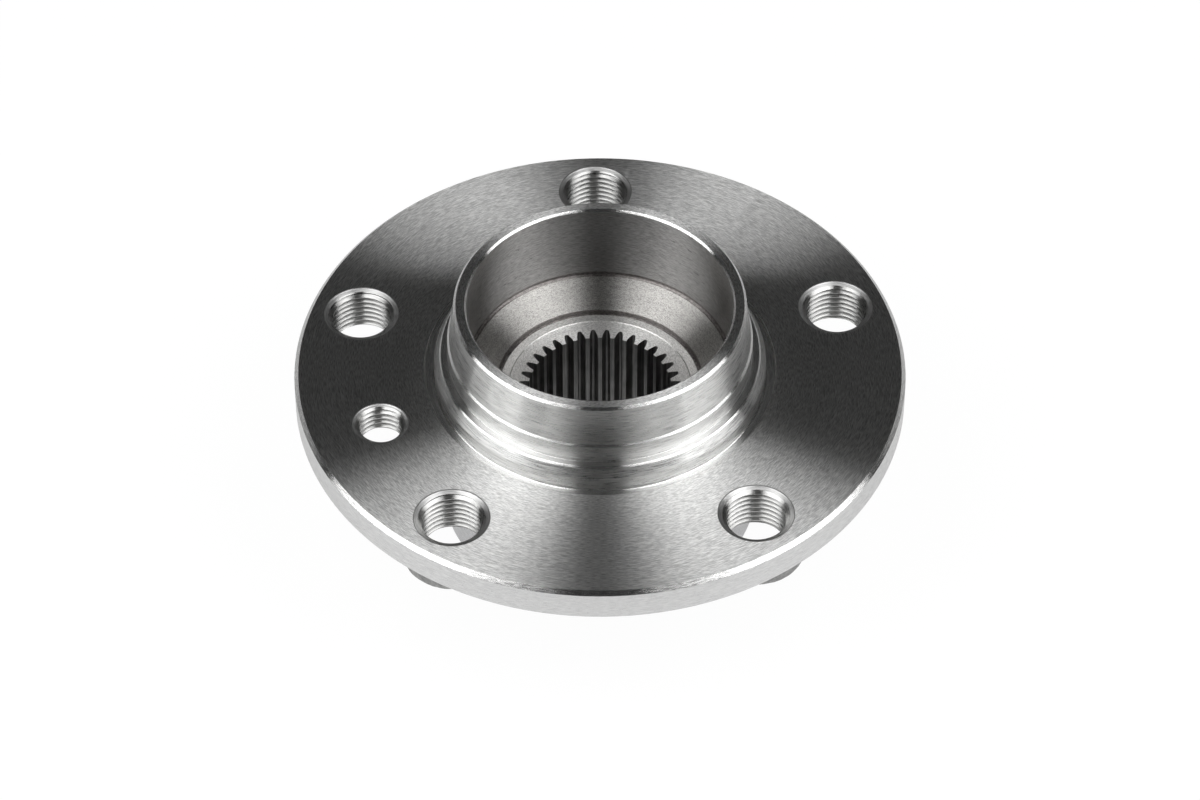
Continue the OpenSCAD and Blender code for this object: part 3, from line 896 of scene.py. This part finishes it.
def thread_nodes(finish):
    """A right-handed thread ridge in one hole: a trapezium swept along a helix, thin at both ends.

    The helix runs up to the wheel face, and thread_ends later cuts it where the countersinks are.
    """
    nodes = Nodes("thread")
    circle_r = nodes.ask("Circle radius")
    phase = nodes.ask("Phase")
    root_r = nodes.ask("Root radius")
    depth = nodes.ask("Depth")
    pitch = nodes.ask("Pitch")
    turns = nodes.ask("Turns")
    rise = nodes.math("MULTIPLY", pitch, turns)
    helix = nodes.node("GeometryNodeCurveSpiral", values={
        "Resolution": HELIX_STEPS, "Rotations": turns, "Height": rise,
        "Start Radius": root_r, "End Radius": root_r})[0]
    upright = nodes.node("GeometryNodeSetCurveNormal", {"mode": "Z_UP"}, {"Curve": helix})[0]
    along = nodes.node("GeometryNodeSplineParameter")["Length"]
    whole = nodes.node("GeometryNodeSplineLength")["Length"]
    to_end = nodes.math("MINIMUM", along, nodes.math("SUBTRACT", whole, along))
    fade_length = nodes.math("MULTIPLY", root_r, THREAD_FADE_SHARE)
    fade = nodes.node("ShaderNodeMapRange", {"interpolation_type": "SMOOTHSTEP"}, {
        "Value": to_end, "From Max": fade_length, "To Min": 0.02})[0]
    faded = nodes.node("GeometryNodeSetCurveRadius", values={"Curve": upright, "Radius": fade})[0]
    outline = nodes.node("GeometryNodeCurvePrimitiveQuadrilateral", {"mode": "TRAPEZOID"}, {
        "Bottom Width": nodes.math("MULTIPLY", pitch, THREAD_ROOT_SHARE),
        "Top Width": nodes.math("MULTIPLY", pitch, THREAD_CREST_SHARE),
        "Height": depth, "Offset": 0.0})[0]
    half_depth = nodes.math("MULTIPLY", depth, 0.5)
    lift = nodes.node("ShaderNodeCombineXYZ", values={"Y": half_depth})[0]
    seated = nodes.node("GeometryNodeTransform", values={"Geometry": outline, "Translation": lift})[0]
    turned = nodes.node("GeometryNodeTransform", values={
        "Geometry": seated, "Rotation": (0, 0, -math.pi / 2)})[0]
    swept = nodes.node("GeometryNodeCurveToMesh", values={
        "Curve": faded, "Profile Curve": turned, "Fill Caps": True})[0]
    points, turn = nodes.circle_of_points(1, circle_r, phase, nodes.math("SUBTRACT", 0.0, rise))
    return nodes.finish(points, turn, swept, finish)


def threads(finish):
    """The threads of the bolt holes and of the locating hole, one piece for each hole."""
    nodes = thread_nodes(finish)
    holes = [(f"bolt_hole_thread_{i}", Vector(place), BOLT_THREAD_R, BOLT_SINK, BOSS_DEPTH)
             for i, place in enumerate(bolt_places(), 1)]
    holes.append(("locating_hole_thread", LOCATOR_PLACE.xy, LOCATOR_THREAD_R, LOCATOR_SINK, FLANGE_T))
    for name, place, thread_r, sink, depth in holes:
        piece = grown(name, nodes, {
            "Circle radius": place.length * MM,
            "Phase": math.atan2(place.y, place.x),
            "Root radius": (thread_r + THREAD_DEPTH + THREAD_LET_IN) * MM,
            "Depth": THREAD_DEPTH * MM,
            "Pitch": THREAD_PITCH * MM,
            "Turns": depth / THREAD_PITCH,
        })
        for cone in thread_ends(place, thread_r, sink, depth):
            combine(piece, "DIFFERENCE", cone)
        crisp(piece)
        piece.data.materials.clear()
        piece.data.materials.append(finish)
        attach(piece, "wheel_side")


def thread_ends(centre, thread_r, sink, depth):
    """What the countersinks at the face and at the back cut off a thread."""
    near_r = thread_r + sink
    far_r = thread_r + THREAD_DEPTH + FAR_SINK
    near_cone = [
        (0, 2 * CLEAR, 0),
        (near_r + CLEAR, 2 * CLEAR, 0),
        (near_r + CLEAR, CLEAR / SINK_SLOPE, 0),
        (0, -near_r / SINK_SLOPE, 0),
    ]
    far_cone = [
        (0, far_r - depth, 0),
        (far_r + CLEAR, -CLEAR - depth, 0),
        (far_r + CLEAR, -3 * CLEAR - depth, 0),
        (0, -3 * CLEAR - depth, 0),
    ]
    return [plug("cone", corners, BOSS_STEPS, centre) for corners in (near_cone, far_cone)]


def ball_nodes(finish):
    """A row of balls on a circle."""
    nodes = Nodes("ball_row")
    count = nodes.ask("Count", "Int")
    circle_r = nodes.ask("Circle radius")
    phase = nodes.ask("Phase")
    radius = nodes.ask("Ball radius")
    height = nodes.ask("Height")
    ball = nodes.node("GeometryNodeMeshUVSphere", values={
        "Segments": BALL_STEPS, "Rings": BALL_STEPS // 2, "Radius": radius})[0]
    points, turn = nodes.circle_of_points(count, circle_r, phase, height)
    return nodes.finish(points, turn, ball, finish)


# Bearing

def on_side(side, corners):
    """Puts corners given as (r, u, radius) on one side of the bearing."""
    return [(r, BEARING_MID + side * u, radius) for r, u, radius in corners]


def bearing_piece(name, body, finish, corners, steps=BEARING_STEPS):
    """A turned piece of the bearing, which stands for the solid of the same name."""
    piece = link(f"{name}_piece", lathe(name, corners, steps))
    crisp(piece)
    dress(piece, [name], body, finish)


def dress(piece, nodes, body, finish):
    """Gives a piece its finish, its body and the solids that it stands for."""
    piece.data.materials.clear()
    piece.data.materials.append(finish)
    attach(piece, body)
    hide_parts(*nodes)


def outer_race(side):
    """The outer raceway and the bore beside it, from the middle of the ring to the seal's seat."""
    centre_r = PITCH_R - RACE_SHIFT * math.cos(CONTACT)
    centre_u = ROW_U + RACE_SHIFT * math.sin(CONTACT)
    start = -math.acos((LAND_OUT_R - centre_r) / RACE_R)
    end = math.acos((LOW_OUT_R - centre_r) / RACE_R)
    return on_side(side, [(LAND_OUT_R, 0, 0)] + arc(centre_r, centre_u, RACE_R, start, end) + [
        (LOW_OUT_R, SEAL_START_U, 0.1),
        (SEAL_SEAT_R, SEAL_START_U, 0.1),
        (SEAL_SEAT_R, SEAL_END_U, 0.1),
        (SEAL_SEAT_R + SEAT_LEAD_IN, RING_HALF, 0.1),
        (BEARING_R - RING_CHAMFER, RING_HALF, 0.25),
        (BEARING_R, RING_HALF - RING_CHAMFER, 0.25),
    ])


def inner_race(side):
    """Half section of an inner ring, whose end stands proud of the outer ring."""
    end_u = RING_HALF + INNER_PROUD[side]
    centre_r = PITCH_R + RACE_SHIFT * math.cos(CONTACT)
    centre_u = ROW_U - RACE_SHIFT * math.sin(CONTACT)
    start = math.pi + math.acos((centre_r - LOW_IN_R) / RACE_R)
    end = math.pi - math.acos((centre_r - LAND_IN_R) / RACE_R)
    raceway = arc(centre_r, centre_u, RACE_R, start, end)
    return on_side(side, [(CLIP_GROOVE_R, 0, 0.05), (LOW_IN_R, 0, 0.1)] + raceway + [
        (LAND_IN_R, end_u - INNER_CHAMFER, 0.1),
        (LAND_IN_R - INNER_CHAMFER, end_u, 0.1),
        (SHANK_R + INNER_CHAMFER, end_u, 0.1),
        (SHANK_R, end_u - INNER_CHAMFER, 0.1),
        (SHANK_R, CLIP_GROOVE_U, 0.05),
        (CLIP_GROOVE_R, CLIP_GROOVE_U, 0.05),
    ])


def ball_angle(side, i):
    """Where a ball stands: the inboard row is half a space further round than the outboard one."""
    return 2 * math.pi * (i + (0 if side == OUTBOARD else 0.5)) / BALL_COUNT


def ball_pocket(angle, height):
    """The sphere that a cage leaves free round a ball."""
    ball = bmesh.new()
    bmesh.ops.create_uvsphere(ball, u_segments=BALL_STEPS, v_segments=BALL_STEPS // 2, radius=POCKET_R * MM)
    place = Vector((PITCH_R * math.cos(angle), PITCH_R * math.sin(angle), height)) * MM
    bmesh.ops.translate(ball, verts=ball.verts, vec=place)
    pocket = bpy.data.meshes.new("pocket")
    ball.to_mesh(pocket)
    ball.free()
    return pocket


def cage_piece(word, side, finish):
    """A snap cage: a ring with ball pockets open to one side, and a slot between each pair of prongs."""
    in_r = PITCH_R - CAGE_T / 2
    out_r = PITCH_R + CAGE_T / 2
    name = f"{word}_cage"
    piece = link(f"{name}_piece", lathe(name, on_side(side, [
        (in_r, CAGE_START_U, 0.2),
        (out_r, CAGE_START_U, 0.2),
        (out_r, CAGE_END_U, 0.25),
        (in_r, CAGE_END_U, 0.25),
    ]), FINE_STEPS))
    height = BEARING_MID + side * ROW_U
    slot_ends = sorted((BEARING_MID, height + side * BALL_R / 2))
    cutters = []
    for i in range(BALL_COUNT):
        angle = ball_angle(side, i)
        cutters.append(ball_pocket(angle, height))
        turn = Matrix.Rotation(angle + math.pi / BALL_COUNT, 2)
        outline = [turn @ Vector(p) for p in (
            (in_r - CLEAR, -PRONG_SLOT / 2),
            (out_r + CLEAR, -PRONG_SLOT / 2),
            (out_r + CLEAR, PRONG_SLOT / 2),
            (in_r - CLEAR, PRONG_SLOT / 2),
        )]
        cutters.append(prism("slot", outline, *slot_ends))
    combine(piece, "DIFFERENCE", joined("cutters", cutters))
    crisp(piece)
    dress(piece, [name], f"{word}_ball_row", finish)


def ball_row(word, side, nodes, finish):
    """One row of balls, which stands for the solids of all its balls."""
    row = grown(f"{word}_balls", nodes, {
        "Count": BALL_COUNT,
        "Circle radius": PITCH_R * MM,
        "Phase": ball_angle(side, 0),
        "Ball radius": BALL_R * MM,
        "Height": (BEARING_MID + side * ROW_U) * MM,
    })
    names = [f"{word}_ball_{i:02d}" for i in range(1, BALL_COUNT + 1)]
    dress(row, names, f"{word}_ball_row", finish)


def seal_pieces(word, side, pressed, rubber):
    """A seal: its pressed case, the lips bonded to it, and the flinger that they run on."""
    case_in_r = SEAL_SEAT_R - CASE_T
    case_u = SEAL_START_U + CASE_T
    foot_r = SLEEVE_R + 2
    disc_u = SEAL_END_U - FLINGER_T
    lip_r = SLEEVE_R + 0.1
    lip_u = disc_u - 0.1
    rubber_u = case_u + 0.5
    bearing_piece(f"{word}_seal_case", "carrier_side", pressed, on_side(side, [
        (foot_r, SEAL_START_U, 0.2),
        (SEAL_SEAT_R, SEAL_START_U, 0.3),
        (SEAL_SEAT_R, SEAL_END_U, 0.2),
        (case_in_r, SEAL_END_U, 0.2),
        (case_in_r, case_u, 0.3),
        (foot_r, case_u, 0.2),
    ]))
    bearing_piece(f"{word}_seal_lips", "carrier_side", rubber, on_side(side, [
        (lip_r + 0.2, SEAL_START_U, 0.1),
        (foot_r, SEAL_START_U, 0),
        (foot_r, case_u, 0),
        (case_in_r, case_u, 0),
        (case_in_r, rubber_u, 0.1),
        (foot_r + 1.7, rubber_u, 0.2),
        (foot_r + 2.4, lip_u, 0.1),
        (foot_r + 1.9, lip_u, 0.1),
        (foot_r + 0.7, rubber_u, 0.2),
        (lip_r + 1.1, rubber_u, 0.2),
        (lip_r + 0.5, case_u + 1.2, 0.1),
        (lip_r, case_u + 1.2, 0.1),
        (lip_r + 0.2, case_u, 0.2),
    ]))
    bearing_piece(f"{word}_flinger", "wheel_side", pressed, on_side(side, [
        (LAND_IN_R, case_u, 0.1),
        (SLEEVE_R, case_u, 0.1),
        (SLEEVE_R, disc_u, 0.3),
        (FLINGER_RIM_R, disc_u, 0.15),
        (FLINGER_RIM_R, SEAL_END_U, 0.15),
        (LAND_IN_R, SEAL_END_U, 0.3),
    ]))


def encoder_piece(finish):
    """The magnetic ring on the inboard flinger."""
    end_u = SEAL_END_U + ENCODER_T
    bevel = 0.2
    bearing_piece("encoder_ring", "wheel_side", finish, on_side(INBOARD, [
        (SLEEVE_R, SEAL_END_U, 0),
        (FLINGER_RIM_R, SEAL_END_U, 0),
        (FLINGER_RIM_R, end_u - bevel, 0.1),
        (FLINGER_RIM_R - bevel, end_u, 0.1),
        (SLEEVE_R, end_u, 0.15),
    ]))


def bearing():
    """Every piece of the bearing, with the finish of each."""
    ring = turned_steel(
        "ground_ring_steel", (0.6, 0.6, 0.605), (0.76, 0.76, 0.765), 0.2,
        across="z", line_mm=0.1, aniso=0.4, bump=0.06)
    ball = turned_steel(
        "ball_steel", (0.74, 0.74, 0.75), (0.8, 0.8, 0.81), 0.08,
        spread=0.02, across="z", aniso=0.0, bump=0.01)
    pressed = rough_steel(
        "pressed_seal_steel", (0.46, 0.46, 0.47), (0.62, 0.62, 0.63), 0.34,
        grain_mm=0.25, bump=0.15, depth_mm=0.02)
    spring = rough_steel(
        "spring_steel", (0.12, 0.13, 0.16), (0.22, 0.23, 0.26), 0.35,
        grain_mm=0.3, bump=0.15, depth_mm=0.02)
    polyamide = moulded("cage_polyamide", (0.62, 0.55, 0.4), (0.75, 0.69, 0.54), 0.45)
    rubber = moulded("seal_rubber", (0.018, 0.018, 0.018), (0.035, 0.035, 0.035), 0.6)
    magnet = moulded("encoder_rubber", (0.014, 0.013, 0.013), (0.03, 0.028, 0.027), 0.42)

    ring_section = outer_race(OUTBOARD) + list(reversed(outer_race(INBOARD)))[:-1]
    bearing_piece("outer_ring", "carrier_side", ring, ring_section, FINE_STEPS)
    balls = ball_nodes(ball)
    for side, word in ((OUTBOARD, "outboard"), (INBOARD, "inboard")):
        bearing_piece(f"{word}_inner_ring", "wheel_side", ring, inner_race(side))
        ball_row(word, side, balls, ball)
        cage_piece(word, side, polyamide)
        seal_pieces(word, side, pressed, rubber)
    encoder_piece(magnet)
    clip = frame["nodes"]["inner_ring_clip"]
    clip.data.materials.clear()
    clip.data.materials.append(spring)


# Stage

def camera():
    """The photograph's view: a long lens from the front, about 45 degrees above the wheel face."""
    degrees_down = 46.066
    lens = bpy.data.cameras.new("camera")
    lens.lens = 152.5
    lens.sensor_width = 36
    stand = bpy.data.objects.new("camera", lens)
    bpy.context.scene.collection.objects.link(stand)
    stand.location = Vector((0, -846.1, 866.3)) * MM
    stand.rotation_euler = (math.radians(90 - degrees_down), 0, 0)
    bpy.context.scene.camera = stand


def floor():
    """White paper from a little in front of the hub to far behind it, with only a faint shadow."""
    side, front, back = 1500, -200, 2400
    level = cad_low.z / MM
    mesh = bpy.data.meshes.new("floor")
    corners = [(-side, front, level), (side, front, level), (side, back, level), (-side, back, level)]
    mesh.from_pydata([Vector(p) * MM for p in corners], [], [(0, 1, 2, 3)])
    paper, sheet = material("white_paper")
    path = sheet.node("ShaderNodeLightPath").outputs

    def paper_look(glow, white):
        """Paper that shines by itself and shows light and shade, in these shares."""
        shine = sheet.node("ShaderNodeEmission", values={"Strength": glow}).outputs[0]
        shade = sheet.node("ShaderNodeBsdfDiffuse", values={"Color": (white, white, white, 1)}).outputs[0]
        return sheet.node("ShaderNodeAddShader", values={0: shine, 1: shade}).outputs[0]

    mirrored = Value(sheet, path["Is Glossy Ray"]) + path["Is Transmission Ray"]
    in_mirror = paper_look(glow=0.3, white=0.7)
    to_camera = paper_look(glow=0.96, white=0.05)
    to_matt = paper_look(glow=0.0, white=0.8)
    seen = sheet.node("ShaderNodeMixShader", values={
        0: path["Is Camera Ray"], 1: in_mirror, 2: to_camera}).outputs[0]
    mix = sheet.node("ShaderNodeMixShader", values={
        0: mirrored + path["Is Camera Ray"], 1: to_matt, 2: seen})
    sheet.node("ShaderNodeOutputMaterial", values={"Surface": mix.outputs[0]})
    mesh.materials.append(paper)
    link("floor", mesh)


def dark_cards():
    """A dark dome that the camera doesn't see, with a pale card low down on either side behind."""
    dome_r = 2500
    shape = bmesh.new()
    bmesh.ops.create_icosphere(shape, subdivisions=4, radius=dome_r * MM)
    bmesh.ops.reverse_faces(shape, faces=shape.faces)
    mesh = bpy.data.meshes.new("dark_cards")
    shape.to_mesh(mesh)
    shape.free()
    for name, strength in (("dark_card", 0.045), ("pale_card", 0.75)):
        card, sheet = material(name)
        card.cycles.emission_sampling = "NONE"
        glow = sheet.node("ShaderNodeEmission", values={"Strength": strength})
        sheet.node("ShaderNodeOutputMaterial", values={"Surface": glow.outputs[0]})
        mesh.materials.append(card)
    for face in mesh.polygons:
        towards = face.center.normalized()
        behind = abs(towards.x) > 0.42 and towards.y > 0.25
        low_down = -0.1 < towards.z < 0.12
        face.material_index = 1 if behind and low_down else 0
    dome = link("dark_cards", mesh)
    dome.visible_camera = False


def softbox(name, place, facing, width, height, brightness):
    """A softbox as bright as this in a mirror, and out of the camera's sight. Its width is level."""
    lamp = bpy.data.lights.new(name, "AREA")
    lamp.shape = "RECTANGLE"
    lamp.size = width * MM
    lamp.size_y = height * MM
    lamp.energy = brightness * math.pi * lamp.size * lamp.size_y
    box = bpy.data.objects.new(name, lamp)
    bpy.context.scene.collection.objects.link(box)
    box.location = Vector(place) * MM
    box.rotation_euler = Vector(facing).to_track_quat("-Z", "Y").to_euler()
    box.visible_camera = False


def studio():
    """A white background, and a large softbox on either side with a dark gap between them."""
    world = bpy.data.worlds.new("studio")
    world.use_nodes = True
    world.cycles.sampling_method = "NONE"
    bpy.context.scene.world = world
    sheet = Sheet(world.node_tree)
    white = sheet.node("ShaderNodeBackground", values={"Color": (1, 1, 1, 1), "Strength": 1.0})
    sheet.node("ShaderNodeOutputWorld", values={"Surface": white.outputs[0]})
    for name, side in (("left_softbox", -1), ("right_softbox", 1)):
        softbox(name, place=(side * 495, -240, 575), facing=(-side * 0.70, 0, -0.72),
                width=693, height=878, brightness=3.2)


camera()
floor()
dark_cards()
studio()
hub_piece()
threads(turned_steel(
    "thread_steel", (0.4, 0.4, 0.396), (0.56, 0.56, 0.55), 0.3, across="z", aniso=0.9, bump=0.05))
bearing()

bpy.context.scene.view_settings.view_transform = "Standard"
